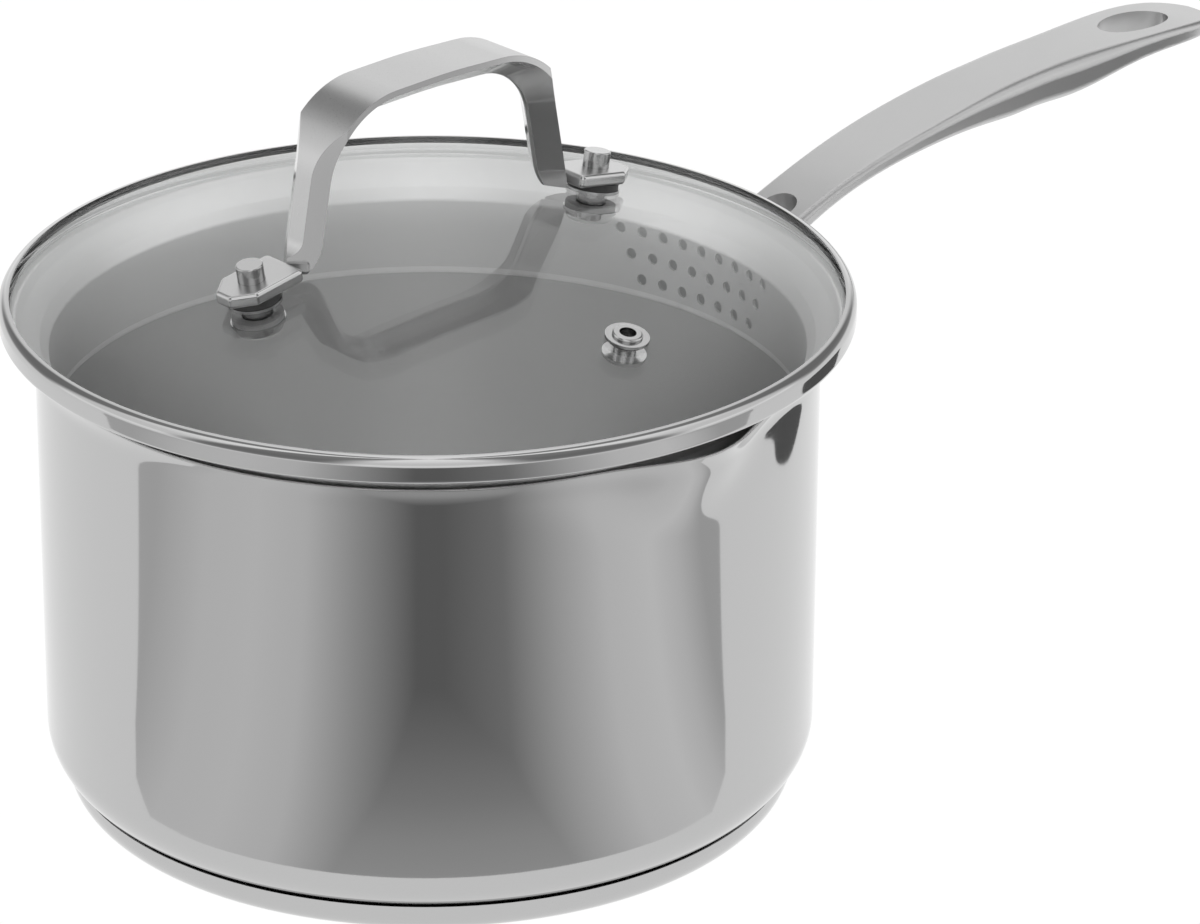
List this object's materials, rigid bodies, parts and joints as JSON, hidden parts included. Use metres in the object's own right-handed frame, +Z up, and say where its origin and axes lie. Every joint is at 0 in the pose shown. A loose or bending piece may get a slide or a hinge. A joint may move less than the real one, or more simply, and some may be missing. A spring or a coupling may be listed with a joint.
{
  "type": "saucepan with strainer lid",
  "caption": "Stainless steel saucepan with a pouring spout, a long cast handle, and a domed glass lid whose perforated skirt strains through the lip.",
  "frame": {"origin": "centre of the flat face that the pan rests on, on the axis of the pan's round wall", "axes": "+X towards the end of the long handle, -Y towards the pouring spout, +Z up along the pan's axis"},
  "size_m": [0.3641, 0.1982, 0.1783],
  "materials": {
    "polished_steel": "mirror polished stainless steel",
    "satin_steel": "fine satin stainless steel",
    "brushed_steel": "spun brushed stainless steel",
    "bright_steel": "bright turned stainless steel",
    "core_aluminium": "plain cast aluminium",
    "clear_glass": "clear toughened glass",
    "dark_silicone": "dark matt silicone"
  },
  "bodies": {
    "pan": {"pan_body": "polished_steel", "base_core": "core_aluminium", "base_cap": "polished_steel", "pan_handle": "satin_steel"},
    "lid_rim": {"rim_band": "polished_steel"},
    "lid": {"strainer_skirt": "brushed_steel", "lid_glass": "clear_glass", "lid_handle": "satin_steel", "vent_grommet": "bright_steel", "vent_gasket": "dark_silicone", "vent_ring": "bright_steel", "handle_stud_left": "bright_steel", "cup_washer_left": "bright_steel", "foot_gasket_left": "dark_silicone", "under_gasket_left": "dark_silicone", "under_washer_left": "bright_steel", "handle_stud_right": "bright_steel", "cup_washer_right": "bright_steel", "foot_gasket_right": "dark_silicone", "under_gasket_right": "dark_silicone", "under_washer_right": "bright_steel"}
  },
  "joints": [
    {"name": "lid_lift", "type": "slide", "parent": "pan", "child": "lid_rim", "axis": [0, 0, 1], "range_m": [0, 0.12]},
    {"name": "lid_turn", "type": "hinge", "parent": "lid_rim", "child": "lid", "pos_m": [0, 0, 0.12], "axis": [0, 0, 1], "continuous": true}
  ]
}
